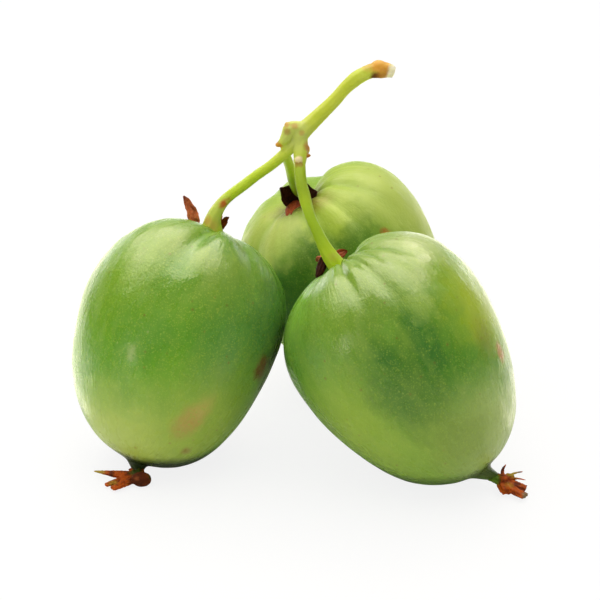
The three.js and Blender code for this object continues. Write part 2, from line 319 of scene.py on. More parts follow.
# %% The three berries
# Sizes in millimetres and angles in degrees. The bow bends the axis towards a heading, and the
# beak moves the tip. The creases fade in over a distance from the stem end's pole. Each is its
# angle round the axis, its half width, its depth and how far down it reaches, and one of a depth
# below zero is a swelling.
BERRIES = {
    "left": {
        "centre": (-13.45, 3.4, 12.9), "lean": 31.5, "heading": 48.6,
        "sizes": {"Length": 27.5, "Waist Radius": 11.18, "Shoulder": 0.12, "Fullness": 0.16,
                  "Bow": 0.74, "Bow Heading": 129, "Beak": (-0.54, -0.94, -0.86),
                  "Cavity Depth": 0.5, "Cavity Radius": 2.6, "Crease Start": 4.2},
        "creases": [
            (203, 10, 0.8, 56), (163, 30, -0.5, 52), (224, 20, -0.5, 48), (253, 10, 0.26, 55),
            (305, 14, 0.3, 45), (12, 14, 0.34, 50), (76, 13, 0.26, 45), (128, 12, 0.3, 50),
        ],
    },
    "right": {
        "centre": (12.0, -1.3, 12.7), "lean": 39.3, "heading": 150.3,
        "sizes": {"Length": 28.2, "Waist Radius": 11.37, "Shoulder": 0.206, "Fullness": 0.152,
                  "Bow": 0.15, "Bow Heading": 28, "Beak": (-0.81, -0.73, -1.44),
                  "Cavity Depth": 1.2, "Cavity Radius": 2.1, "Crease Start": 2.2},
        "creases": [
            (123, 5, 0.36, 50), (141, 5, 0.36, 58), (157, 5, 0.3, 60), (132, 34, -0.25, 40),
            (174, 8, 0.45, 46), (215, 28, -0.5, 42), (250, 13, 0.3, 45), (300, 14, 0.3, 45),
            (352, 13, 0.3, 50), (70, 13, 0.26, 45),
        ],
    },
    "back": {
        "centre": (6.35, 22.75, 12.8), "lean": 30.5, "heading": 186.2,
        "sizes": {"Length": 26.9, "Waist Radius": 11.15, "Shoulder": 0.19, "Fullness": 0.16,
                  "Bow": -0.66, "Bow Heading": 158, "Beak": (-0.48, 0, -0.98),
                  "Cavity Depth": 2.0, "Cavity Radius": 3.2, "Crease Start": 2.2},
        "creases": [
            (96, 11, 0.36, 60), (122, 7, 0.24, 70), (148, 8, 0.3, 70), (240, 23, 1.9, 42),
            (300, 14, 0.3, 50), (30, 13, 0.34, 55),
        ],
    },
}
print("longest berry:", max(berry["sizes"]["Length"] for berry in BERRIES.values()), "mm")

# %% The rule of the skin
BERRY_SIDES = 240
BERRY_RINGS = 180
POLE_CROWDING = 0.8
WAIST_POWER = 0.95
BEAK_RADIUS = 0.95
BEAK_POWER = 6
CREASE_POWER = 4
LUMP_SCALE = 2.2
RIB_SCALE = 6.5
RIB_PITCH = 0.22
RIB_REACH = math.radians(75)
BERRY_INPUTS = {**floats("Length", "Waist Radius", "Shoulder", "Fullness", "Bow", "Bow Heading",
                         "Cavity Depth", "Cavity Radius", "Crease Start", "Lump Height",
                         "Rib Height", "Seed"), "Beak": "Vector", "Turn": "Vector"}


def pressed_in(creases, polar, around):
    """How far in, in millimetres, the creases press the skin."""
    depth_so_far = 0.0
    for angle, half_width, depth, reach in creases:
        off = (around - math.radians(angle)).apply("WRAP", math.pi, -math.pi)
        crease = bell(off, math.radians(half_width)) * bell(polar, math.radians(reach), CREASE_POWER)
        depth_so_far = crease * depth + depth_so_far
    return depth_so_far


def barrel(tree, size, creases):
    """The rule itself, which gives each point's direction, its crease depth and its place."""
    x, y, z = split(position(tree))
    across = (x * x + y * y).apply("SQRT")
    around = y.apply("ARCTAN2", x)
    share = across.apply("ARCTAN2", z) / math.pi
    polar = share * math.pi - (share * (2 * math.pi)).apply("SINE") * (POLE_CROWDING / 2)
    c = polar.apply("COSINE")
    s = polar.apply("SINE").apply("MAXIMUM", 0.0)
    stem_half = c.apply("GREATER_THAN", 0.0)

    ring = s ** WAIST_POWER * size["Waist Radius"] * (c * size["Shoulder"] + c * c * size["Fullness"] + 1)
    cavity = bell(ring, size["Cavity Radius"]) * size["Cavity Depth"] * stem_half
    beyond_pole = 1 - bell(ring, size["Crease Start"])
    crease = pressed_in(creases, polar, around) * beyond_pole

    direction = combine(s * around.apply("COSINE"), s * around.apply("SINE"), c)
    lumps = (noise(direction, LUMP_SCALE, seed=size["Seed"]) - 0.5) * size["Lump Height"]
    meridian = combine(around.apply("COSINE"), around.apply("SINE"), polar * RIB_PITCH)
    ribs = (noise(meridian, RIB_SCALE, seed=size["Seed"]) - 0.5) * size["Rib Height"]
    rib_reach = bell(polar, RIB_REACH, CREASE_POWER)
    kept = 1 - (crease - (lumps + ribs * rib_reach) * beyond_pole) / size["Waist Radius"]

    heading = size["Bow Heading"].apply("RADIANS")
    bow = size["Bow"] * s * s
    beak_x, beak_y, beak_z = split(size["Beak"])
    beak = (1 - stem_half) / ((ring / BEAK_RADIUS) ** BEAK_POWER + 1)
    place = combine(
        kept * ring * around.apply("COSINE") + bow * heading.apply("COSINE") + beak * beak_x,
        kept * ring * around.apply("SINE") + bow * heading.apply("SINE") + beak * beak_y,
        kept * (size["Length"] * 0.5 * c - cavity) + beak * beak_z,
    )
    return direction, crease, place


def berry_rule(title, creases):
    """The tree that grows one berry: a sphere, moved by the rule and then leaned over."""
    tree, given, size = new_rule(title, BERRY_INPUTS)
    direction, crease, place = barrel(tree, size, creases)
    ball = add(tree, "GeometryNodeMeshUVSphere", {"Segments": BERRY_SIDES, "Rings": BERRY_RINGS})
    skin = ball.outputs["Mesh"]
    for name, kind, value in (("skin_direction", "FLOAT_VECTOR", direction),
                              ("crease_depth", "FLOAT", crease)):
        skin = alter("StoreNamedAttribute", skin, {"Name": name, "Value": value}, data_type=kind)
    skin = alter("SetPosition", skin, {"Position": place})
    turn = add(tree, "FunctionNodeEulerToRotation", {0: size["Turn"]}).outputs[0]
    return close_rule(given, alter("Transform", skin, {"Rotation": turn}))


print("a berry's rule takes", len(BERRY_INPUTS), "inputs")

# %% Grow the berries
LUMP_HEIGHT = 0.3
RIB_HEIGHT = 0.18


def grow_berry(side, berry, seed):
    """One berry as a plain mesh round its own centre, in metres."""
    piece = new_piece(f"berry_{side}_skin")
    turn = (0, math.radians(berry["lean"]), math.radians(berry["heading"]))
    set_rule(piece, berry_rule(f"berry {side}", berry["creases"]),
             {**berry["sizes"], "Turn": turn, "Lump Height": LUMP_HEIGHT, "Rib Height": RIB_HEIGHT,
              "Seed": seed})
    return bake(piece)


berries = {side: grow_berry(side, berry, seed) for seed, (side, berry) in enumerate(BERRIES.items())}
for side, piece in berries.items():
    print(piece.name, len(piece.data.polygons), "faces")

# %% [markdown]
# ## Setting the berries down
# The frame's box for each berry says where it stands, so the fine mesh is scaled by a hair to
# fill that box seen from above. Its height is set by its centre, and what would be under the
# table is pressed flat, as the soft skin of a resting fruit is. A simulation could drop the
# berries instead, but it might roll them away from the places that the frame gives. The berries
# also tell where the whole cluster stands, which the thin pieces need.

# %% Place the berries
def fit_to_node(piece, node, height):
    """Scales a mesh by a hair to fill its node's box, with its centre at a height over the table."""
    low, high = (np.array(corner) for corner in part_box(node))
    points = get_points(piece)
    scale = min((high - low)[:2] / np.ptp(points, axis=0)[:2])
    points *= scale
    middle = (points.max(axis=0) + points.min(axis=0)) / 2
    move = (high + low) / 2 - middle
    move[2] = height
    points += move
    set_points(piece, press_flat(points))
    print(f"{piece.name}: scaled by {scale:.4f}, centre at {np.round(move / MM, 2)} mm")
    return move


centres = {side: fit_to_node(piece, f"berry_{side}", BERRIES[side]["centre"][2] * MM)
           for side, piece in berries.items()}
shifts = [centres[side] - np.array(berry["centre"]) * MM for side, berry in BERRIES.items()]
cluster_shift = np.mean(shifts, axis=0)
cluster_shift[2] = 0


def plant(piece):
    """Bakes a piece that grew in the cluster's own millimetres, and moves it into the frame."""
    bake(piece)
    set_points(piece, get_points(piece) + cluster_shift)
    return piece


def on_cluster(marks):
    """Marks with their places and radii, in the cluster's own millimetres, put in the frame."""
    return [(tuple(np.array(centre) * MM + cluster_shift), radius * MM, *mark)
            for centre, radius, *mark in marks]


print("the cluster stands at", np.round(cluster_shift / MM, 3), "mm")

# %% [markdown]
# ## Finishes: the tools
# A finish is a Principled shader whose colour, roughness and bump are worked out from the place
# on the piece. Large soft patches give the sunny cheek and also painted shade and painted
# highlights, noise gives the mottling, and small round cells give the dots. All of it is
# procedural, so it is as sharp close up as it is from afar.

# %% Finish helpers
def new_finish(name, constants):
    """A material with one Principled shader. Values that never change sit on its own sockets."""
    material = bpy.data.materials.new(name)
    material.use_nodes = True
    tree = material.node_tree
    tree.nodes.clear()
    shader = add(tree, "ShaderNodeBsdfPrincipled", constants)
    add(tree, "ShaderNodeOutputMaterial", {"Surface": shader.outputs[0]})
    place = add(tree, "ShaderNodeTexCoord").outputs["Object"]
    return material, shader, place


def cover(under, over, share):
    """The colour under, hidden by the colour over as far as share says. Either may be a code."""
    under, over = (paint(colour) if isinstance(colour, str) else colour for colour in (under, over))
    return add(share.tree, "ShaderNodeMix", {0: share, 6: under, 7: over}, data_type="RGBA").outputs[2]


def layered(colour, layers):
    """A colour with others over it, each given by its code and its share."""
    for code, share in layers:
        colour = cover(colour, code, share)
    return colour


def patch(place, centre, radius, softness, wobble):
    """1 within a radius of a centre, fading to 0 over an edge that wobble makes ragged."""
    distance = vector_math("DISTANCE", place, centre) + wobble
    return ramp(distance, radius * (1 + softness), radius * (1 - softness))


def marked(place, colour, marks, wobble, wear=1.0):
    """A colour with round marks over it: each a place, a radius, a softness, a code and a strength."""
    for centre, radius, softness, code, strength in marks:
        covered = patch(place, centre, radius, softness, wobble)
        colour = cover(colour, code, covered * (wear * strength))
    return colour


DOT_EDGE = 0.12
CHANCE_EDGE = 0.02


def dots(place, spacing, radius, share):
    """Round dots, at random about a spacing apart, of which only a share is there."""
    cells = add(place.id_data, "ShaderNodeTexVoronoi", {"Vector": place, "Scale": 1 / spacing})
    chance = split(cells.outputs["Color"])[0]
    size = (chance / share + 1) * (radius / spacing / 2)
    inside = ramp(Term(cells.outputs["Distance"]) - size, DOT_EDGE, -DOT_EDGE)
    return inside * (1 - ramp(chance, share - CHANCE_EDGE, share))


GRAIN_DEPTH = 0.05 * MM
DRY_ROUGHNESS = (0.6, 0.85)


def dress(shader, colour, roughness, height, depth=GRAIN_DEPTH):
    """Gives the shader its colour and roughness, and a bump of a real depth in metres."""
    hills = add(shader.id_data, "ShaderNodeBump", {"Height": height, "Distance": depth, "Strength": 1.0})
    feed(shader.inputs["Base Color"], colour)
    feed(shader.inputs["Roughness"], roughness)
    feed(shader.inputs["Normal"], hills.outputs[0])


print("finish helpers ready")

# %% [markdown]
# ## The skin of the berries
# The skin is waxy and hairless. It is mottled green, a little yellower on the cheek that faced
# the sun, and sprinkled with pale lenticels, fewer and larger corky ones, and brown specks.
# Rubbed places heal as buff or russet scars. Close to the table a painted shade darkens the skin,
# where each berry shades its own underside, and the creases get a painted shade of deeper green.
# Under the skin the flesh lets light in, so the shader scatters a little of it below the surface,
# and faint ripples, grain and lengthwise fibres are a bump. The patches are placed on the berry
# itself, by the same two angles that shape it, so they stay on the skin however the berry lies.
# Paint on an unwrapped skin would show a seam and blur close up.

# %% Skin finish
SKIN_GLOW = {"Subsurface Weight": 0.2, "Subsurface Radius": (0.9, 1.0, 0.35),
             "Subsurface Scale": 0.8 * MM}
# The painted shade near the table: the heights between which it fades in, and how much it wavers.
SHADE_TOP = 3.9 * MM
SHADE_BOTTOM = 2.0 * MM
SHADE_WAVER = 0.8 * MM
SKIN_DEPTH = 0.045 * MM
BROWN_SPECKS = (1.3 * MM, 0.12 * MM, 0.25)
FIBRE_PITCH = 0.35
# Each kind of lenticel: its spacing and radius in millimetres, the share that is there, its
# colour, and its strength times the berry's own.
LENTICELS = [(0.32, 0.105, 0.7, "#b9cc50", 1.0), (0.19, 0.075, 0.8, "#b9cc50", 1.0),
             (1.1, 0.11, 0.2, "#c8d07c", 1.5)]


def on_berry(marks):
    """Marks whose first two numbers, angles in degrees, become a direction on the berry."""
    placed = []
    for polar, around, *mark in marks:
        p, a = math.radians(polar), math.radians(around)
        placed.append(((math.sin(p) * math.cos(a), math.sin(p) * math.sin(a), math.cos(p)), *mark))
    return placed


def skin_finish(side, seed, ior, roughness, streaks, shade, specks, base, deep, pale, patches, marks):
    """The waxy green skin of one berry, with its own tints, painted shade, painted highlights and marks."""
    material, shader, place = new_finish(f"skin {side}", {**SKIN_GLOW, "IOR": ior})
    tree = material.node_tree
    direction = add(tree, "ShaderNodeAttribute", attribute_name="skin_direction").outputs["Vector"]
    crease = Term(add(tree, "ShaderNodeAttribute", attribute_name="crease_depth").outputs["Fac"])
    x, y, z = split(direction)
    meridian = vector_math("NORMALIZE", combine(x, y, 0.0))
    meridian = vector_math("ADD", meridian, combine(0.0, 0.0, z * FIBRE_PITCH))

    # The numbers are hills to a metre, or round the berry, and then their detail and roughness.
    clouds = noise(place, 130, 3, 0.55, seed)
    mottle = noise(place, 520, 3, 0.6, seed)
    grain = noise(place, 3200, 2, 0.6, seed)
    bands = noise(meridian, 9, 3, 0.5, seed)
    ripples = noise(place, 900, 2, 0.5, seed)
    fibres = noise(meridian, 30, 2, 0.6, seed)

    skin = cover(base, deep, ramp(clouds, 0.4, 0.65) * 0.6)
    wobble = (mottle - 0.5) * 0.35 + (clouds - 0.5) * 0.3
    skin = marked(direction, skin, on_berry(patches), wobble)
    skin = layered(skin, [
        (pale, ramp(bands, 0.5, 0.72) * streaks),
        # Painted shade: deeper green pressed into the creases.
        (deep, ramp(crease, 0.05, 0.5) * 0.5),
        (pale, ramp(mottle, 0.5, 0.75) * 0.12),
    ])
    for spacing, radius, share, code, strength in LENTICELS:
        lenticels = dots(place, spacing * MM, radius * MM, share)
        skin = cover(skin, code, lenticels * (strength * specks))
    # Painted shade: a dark green band low on each berry, close to the table, as strong as its shade value.
    over_table = split(place)[2] + (clouds - 0.5) * SHADE_WAVER
    skin = layered(skin, [
        ("#84501e", dots(place, *BROWN_SPECKS) * 0.7),
        ("#27380f", ramp(over_table, SHADE_TOP, SHADE_BOTTOM) * shade),
    ])
    wobble = (mottle - 0.5) * 0.16 + (grain - 0.5) * 0.05
    skin = marked(direction, skin, on_berry(marks), wobble, ramp(grain, 0.25, 0.5))

    dull = ramp(mottle + bands, 0.8, 1.2, roughness - 0.05, roughness + 0.07)
    dress(shader, skin, dull, ripples + grain * 0.8 + fibres * 0.9, SKIN_DEPTH)
    return material


print("each skin has", len(LENTICELS), "kinds of lenticel")

# %% The three skins
# Patches and marks: polar angle, angle round the axis, radius, softness, colour, strength. Besides
# the skin's own tones, some patches are painted shade and painted light, as noted for each berry.
SKIN_LOOKS = {
    "left": {
        "seed": 3.0, "ior": 1.4, "roughness": 0.28, "streaks": 0.1, "shade": 0.95, "specks": 0.36,
        "base": "#6fa822", "deep": "#579428", "pale": "#b0c650",
        # Painted shade: the dark patches at 72, 60 and 84 on the far flank and at 161 and 175 by the neck.
        # Painted reflection of the table: the pale patches at 125 and 155 low down. The patch at 38 gives
        # the crown's painted highlight a warmer colour.
        "patches": [
            (60, 165, 0.55, 0.7, "#80a218", 0.6), (72, 268, 0.55, 0.7, "#56903c", 0.85),
            (60, 284, 0.35, 0.6, "#4f7c40", 0.7), (84, 303, 0.3, 0.5, "#3c4a1c", 0.8),
            (155, 205, 0.57, 0.6, "#b8cc60", 0.95), (125, 262, 0.5, 0.7, "#a2bb3c", 0.75),
            (38, 215, 0.5, 0.7, "#92a83a", 0.6), (28, 228, 0.2, 0.6, "#5f9018", 0.8),
            (60, 205, 0.22, 0.7, "#649a1c", 0.7), (161, 250, 0.15, 0.6, "#5c7420", 0.5),
            (175, 230, 0.14, 0.5, "#44621c", 0.8),
        ],
        # The small pale mark at 100 is a painted window glint; the others are scars.
        "marks": [
            (128, 245, 0.1, 0.8, "#b4a04a", 0.7), (120, 248, 0.12, 0.7, "#c0a050", 0.75),
            (112, 251, 0.1, 0.8, "#c2b456", 0.6), (87, 282, 0.1, 0.5, "#7a4a26", 0.85),
            (100, 198, 0.05, 0.6, "#a9ba6c", 0.5), (140, 262, 0.05, 0.6, "#8c5a2c", 0.6),
        ],
    },
    "right": {
        "seed": 8.0, "ior": 1.4, "roughness": 0.28, "streaks": 0.15, "shade": 0.4, "specks": 0.27,
        "base": "#69a220", "deep": "#508c26", "pale": "#b0c654",
        # Painted highlight: the pale crest patch at 41, 199. Painted light: the pale patch at 31, where the
        # left berry shades this flank, and the pale dot at 68, 128 under the window's glint. Painted shade:
        # the dark patch at 172 by the neck. Painted reflection of the table: the pale patch at 143 low down.
        "patches": [
            (88, 128, 0.55, 0.6, "#4d8426", 0.8), (60, 145, 0.3, 0.7, "#569016", 0.5),
            (105, 78, 0.55, 0.7, "#9bba32", 0.85), (130, 105, 0.5, 0.7, "#8fb43c", 0.85),
            (143, 160, 0.5, 0.7, "#b6ca74", 0.9), (81, 187, 0.36, 0.7, "#b8ca34", 0.85),
            (50, 60, 0.4, 0.7, "#5c9038", 0.7), (35, 185, 0.5, 0.7, "#8ea62c", 0.6),
            (40, 130, 0.6, 0.7, "#84a030", 0.6), (98, 118, 0.32, 0.7, "#487a22", 0.8),
            (70, 141, 0.1, 0.8, "#3f7a28", 0.8), (80, 142, 0.1, 0.8, "#3f7a2c", 0.7),
            (90, 141, 0.11, 0.8, "#3f782c", 0.6), (76, 118, 0.1, 0.8, "#3f782c", 0.6),
            (31, 50, 0.3, 0.6, "#94c848", 0.55), (68, 128, 0.1, 0.8, "#7aa838", 0.6),
            (133, 128, 0.34, 0.7, "#7c9a2a", 0.7), (66, 150, 0.12, 0.7, "#a8c45a", 0.5),
            (41, 199, 0.24, 0.7, "#bccb7c", 0.8), (172, 160, 0.13, 0.6, "#45521c", 0.7),
        ],
        "marks": [(106, 189, 0.06, 0.6, "#cc8c50", 0.8), (96, 178, 0.13, 0.8, "#8c8a3a", 0.45)],
    },
    "back": {
        "seed": 14.0, "ior": 1.25, "roughness": 0.46, "streaks": 0.3, "shade": 0.8, "specks": 0.2,
        # The pale base is partly the berry's own yellower tone and partly painted light from behind.
        "base": "#96b01a", "deep": "#7ca41c", "pale": "#c2d266",
        # Painted shade: the darker patches at 85 and 95 round the middle and at 53, 60 and 62 in the shade
        # between the berries. Painted light: the pale patches at 24, 32 and 33 on top.
        "patches": [
            (85, 270, 1.1, 0.5, "#6f9e26", 0.7), (95, 90, 0.9, 0.5, "#61962a", 0.9),
            (62, 50, 0.55, 0.6, "#548c3c", 0.9), (53, 88, 0.37, 0.7, "#4f7620", 0.9),
            (32, 56, 0.24, 0.7, "#c8d66c", 0.85), (33, 106, 0.18, 0.7, "#bed23c", 0.8),
            (55, 158, 0.47, 0.7, "#c7d568", 0.75), (60, 120, 0.17, 0.7, "#4f7c14", 0.8),
            (24, 30, 0.25, 0.7, "#b4bc4c", 0.7),
        ],
        # The dark brown mark at 8 round the stem is partly the sepals' own colour and partly painted shade
        # in the cavity.
        "marks": [
            (61, 130, 0.05, 0.4, "#b4742e", 0.9), (8, 80, 0.17, 0.6, "#3a1c0c", 0.9),
            (19, 110, 0.1, 0.9, "#8a6414", 0.45),
        ],
    },
}
for side, look in SKIN_LOOKS.items():
    berries[side].data.materials.clear()
    berries[side].data.materials.append(skin_finish(side, **look))
    print(side, "skin:", len(look["patches"]), "cheeks,", len(look["marks"]), "scars")

# %% [markdown]
# ## Limbs that grow along paths
# The stalk's limbs and the dried styles are the same kind of thing: a bar that follows a path,
# thick in one place and thin in another. Each path is a chain of edges that carries its radius,
# and a swelling is a lone vertex that carries its size. One tree sweeps a ridged outline along
# the chains and sets balls on the lone vertices. A voxel remesh then grows everything together,
# and a second tree smooths the crotches and roughens the surface, as bark and drying do.

# %% Paths with radii
PATH_STEPS = 14


def smooth_path(points, radii):
    """Closely spaced places and radii on a smooth curve through the given ones."""
    knots = np.column_stack([np.array(points, float), radii])
    ends = 2 * knots[[0, -1]] - knots[[1, -2]]
    p = np.vstack([ends[0], knots, ends[1]])
    steps = []
    for before, start, end, after in zip(p, p[1:], p[2:], p[3:]):
        for t in np.linspace(0, 1, PATH_STEPS, endpoint=False):
            pull = (end - before) * t + (2 * before - 5 * start + 4 * end - after) * t ** 2
            steps.append(start + (pull + (3 * start - before - 3 * end + after) * t ** 3) / 2)
    return np.vstack([steps, knots[-1]])


def new_skeleton(name, limbs, knobs):
    """A mesh of edge chains with a radius at each vertex, and lone vertices with a knob size."""
    chains = [smooth_path(points, radii) for points, radii in limbs]
    places = [tuple(row[:3]) for chain in chains for row in chain]
    edges = []
    start = 0
    for chain in chains:
        edges += [(i, i + 1) for i in range(start, start + len(chain) - 1)]
        start += len(chain)
    mesh = bpy.data.meshes.new(name)
    mesh.from_pydata(places + [centre for centre, _ in knobs], edges, [])
    radii = [row[3] for chain in chains for row in chain] + [0.0] * len(knobs)
    sizes = [(0, 0, 0)] * len(places) + [size for _, size in knobs]
    mesh.attributes.new("radius", "FLOAT", "POINT").data.foreach_set("value", radii)
    mesh.attributes.new("knob_size", "FLOAT_VECTOR", "POINT").data.foreach_set(
        "vector", np.array(sizes, float).ravel())
    return new_piece(name, mesh)


print("a path of 6 points gets", len(smooth_path([(i, 0, 0) for i in range(6)], [1] * 6)), "steps")

# %% [markdown]
# ## The two trees of a limb
# The first tree turns edge chains into curves and sweeps the outline along them, scaled at each
# step by the radius that the chain carries. A vertex with no neighbours is a swelling and gets a
# ball. The second tree blurs the remeshed surface, which rounds the crotches, and moves it along
# its normals by a fine noise. They are two trees because the voxel remesh, which is a modifier,
# comes between them.

# %% The limb rule
OUTLINE_STEPS = 48
BALL_SUBDIVISIONS = 4


def limb_rule():
    """Sweeps a ridged, flattened outline along edge chains, and sets balls on lone vertices."""
    tree, given, size = new_rule("limbs", floats("Flatness", "Ridges", "Ridge Depth"))
    circle = add(tree, "GeometryNodeCurvePrimitiveCircle", {"Resolution": OUTLINE_STEPS, "Radius": 1.0})
    x, y, _ = split(position(tree))
    ridge = (y.apply("ARCTAN2", x) * size["Ridges"]).apply("COSINE") * size["Ridge Depth"] + 1
    outline = alter("SetPosition", circle.outputs["Curve"],
                    {"Position": combine(x * ridge, y * ridge * size["Flatness"], 0.0)})
    radius = add(tree, "GeometryNodeInputNamedAttribute", {"Name": "radius"}, data_type="FLOAT")
    path = alter("MeshToCurve", given["Geometry"])
    upright = alter("SetCurveNormal", path, mode="Z_UP")
    swept = alter("CurveToMesh", upright,
                  {"Profile Curve": outline, "Scale": radius.outputs[0], "Fill Caps": True})

    neighbours = Term(add(tree, "GeometryNodeInputMeshVertexNeighbors").outputs[0])
    is_lone = neighbours.apply("COMPARE", 0.0, 0.5)
    lone = alter("MeshToPoints", given["Geometry"], {"Selection": is_lone})
    knob_size = add(tree, "GeometryNodeInputNamedAttribute", {"Name": "knob_size"}, data_type="FLOAT_VECTOR")
    ball = add(tree, "GeometryNodeMeshIcoSphere", {"Radius": 1.0, "Subdivisions": BALL_SUBDIVISIONS})
    knobs = alter("InstanceOnPoints", lone,
                  {"Instance": ball.outputs["Mesh"], "Scale": knob_size.outputs[0]})
    joined = add(tree, "GeometryNodeJoinGeometry")
    for part in (swept, knobs):
        tree.links.new(part, joined.inputs[0])
    return end_rule(given, joined.outputs[0])


def weather_rule():
    """Smooths a grown-together mesh and roughens it along its normals."""
    tree, given, size = new_rule("weathering", {
        "Smoothing": "Int", **floats("Grain Height", "Grain Size", "Seed")})
    place = position(tree)
    relaxed = add(tree, "GeometryNodeBlurAttribute",
                  {"Value": place, "Iterations": size["Smoothing"]}, data_type="FLOAT_VECTOR")
    smooth = alter("SetPosition", given["Geometry"], {"Position": relaxed.outputs[0]})
    grain = noise(place, size["Grain Size"] ** -1, 3, 0.6, size["Seed"]) - 0.5
    normal = add(tree, "GeometryNodeInputNormal").outputs[0]
    offset = scaled(normal, grain * size["Grain Height"])
    return close_rule(given, alter("SetPosition", smooth, {"Offset": offset}))


LIMBS = limb_rule()
WEATHERING = weather_rule()
print("limb trees:", len(LIMBS.nodes), "and", len(WEATHERING.nodes), "nodes")

# %% Grow together
def grow_limbs(name, limbs, knobs, voxel, outline, weather, finish):
    """A grown-together piece from its paths and knobs, in metres at its place in the frame."""
    piece = new_skeleton(name, limbs, knobs)
    set_rule(piece, LIMBS, {**outline, "Finish": finish})
    remesh = piece.modifiers.new("grow together", "REMESH")
    remesh.mode = "VOXEL"
    remesh.voxel_size = voxel
    set_rule(piece, WEATHERING, {**weather, "Finish": finish})
    plant(piece)
    print(name, len(piece.data.polygons), "faces")
    return piece


print("limbs grow together where they meet")

# %% [markdown]
# ## The stalk's finish
# A fresh pedicel is yellow-green and faintly ribbed, greener low down, and darker green on its
# far side, which is painted shade.
# Where it was joined or rubbed it turns corky buff, at the cut it dries orange brown, and the cut
# face itself is pale wood. Each of these is a patch round a point, with an edge that noise makes
# ragged. Wide tints come first in the list, so that the small scars lie over them.

# %% Stalk finish
BARK_ROUGHNESS = (0.42, 0.62)
# Place in the cluster's millimetres, radius, softness, colour and strength of each tint and scar.
STALK_MARKS = [
    ((-0.6, 9.6, 35.6), 1.7, 0.5, "#ced674", 0.75), ((4.2, 11.0, 39.4), 3.2, 0.6, "#c6d036", 0.6),
    ((8.8, 11.6, 43.3), 1.25, 0.35, "#e6ac44", 1.0), ((7.4, 11.6, 42.9), 0.7, 0.5, "#d0a848", 0.7),
    ((8.35, 10.9, 41.9), 0.55, 0.5, "#6a3414", 0.95), ((9.3, 11.0, 42.2), 0.7, 0.6, "#c98a34", 0.9),
    ((10.3, 11.5, 42.2), 0.88, 0.3, "#fff0cc", 1.0), ((-1.54, 10.0, 36.8), 0.4, 0.8, "#cf9450", 0.8),
    ((-0.55, 9.7, 36.7), 0.35, 0.8, "#cc9650", 0.7), ((-1.38, 9.7, 36.0), 0.3, 0.8, "#a8853a", 0.8),
    ((0.2, 9.5, 35.9), 0.25, 0.8, "#c79a4e", 0.6), ((-2.4, 9.9, 34.25), 0.42, 0.4, "#d09032", 0.95),
    ((0.75, 9.7, 34.1), 0.5, 0.6, "#c98848", 0.9), ((1.0, 9.3, 33.25), 0.45, 0.5, "#b8702e", 0.95),
    ((-0.2, 8.2, 33.25), 0.5, 0.4, "#f4dcae", 0.95), ((-0.42, 8.1, 32.7), 0.25, 0.5, "#b87c3e", 0.9),
    ((0.1, 8.1, 32.65), 0.25, 0.5, "#b87c3e", 0.9), ((-9.2, 8.0, 27.3), 1.7, 0.6, "#cfd66c", 0.7),
    ((-8.46, 7.9, 28.0), 0.5, 0.5, "#c9692c", 0.95), ((-7.85, 7.9, 28.5), 0.4, 0.6, "#b87430", 0.8),
    ((-10.4, 7.6, 26.2), 0.55, 0.6, "#d4a850", 0.8), ((-9.8, 7.4, 25.6), 0.8, 0.7, "#d4b45e", 0.7),
    ((3.6, 2.2, 24.2), 0.5, 0.7, "#c0b050", 0.4), ((1.6, 4.2, 27.0), 2.6, 0.6, "#98b81e", 0.75),
    ((0.1, 7.4, 30.6), 2.1, 0.5, "#94ae18", 0.9),
]


def stalk_finish():
    """Yellow-green bark with corky scars, a dried cut end and faint ribs."""
    constants = {"Subsurface Weight": 0.6, "Subsurface Radius": (1.0, 1.0, 0.25),
                 "Subsurface Scale": 1.0 * MM, "IOR": 1.25}
    material, shader, place = new_finish("stalk bark", constants)
    clouds = noise(place, 420, 3, 0.6, 21.0)
    grain = noise(place, 2600, 3, 0.6, 22.0)
    _, y, z = split(place)
    bark = layered("#ced84e", [
        ("#dae066", ramp(clouds, 0.4, 0.65)),
        ("#bcd42a", ramp(z, 36 * MM, 30 * MM) * 0.85),
        # Painted shade: darker green towards the back of the cluster.
        ("#88a030", ramp(y, 2.5 * MM, 6 * MM) * 0.65),
        ("#9cb634", ramp(grain, 0.55, 0.75) * 0.4),
    ])
    wobble = (grain - 0.5) * (0.5 * MM) + (clouds - 0.5) * (0.7 * MM)
    bark = marked(place, bark, on_cluster(STALK_MARKS), wobble)
    dress(shader, bark, ramp(grain, 0.3, 0.7, *BARK_ROUGHNESS), grain + clouds * 0.5)
    return material


STALK_FINISH = stalk_finish()
print("stalk finish has", len(STALK_MARKS), "scars")

# %% [markdown]
# ## The stalk
# The thick arm is the cut peduncle, with a corky callus at its cut end. It meets the three thin
# pedicels in a knotted hub, which also carries the curled remains of a bract. Each limb is a path
# with a radius at every point, and each knot a swelling, so the whole fork grows as one mesh with
# soft crotches, which separate tubes pushed into each other would not have.

# %% The stalk
HUB = (-0.1, 10.5, 35.3)
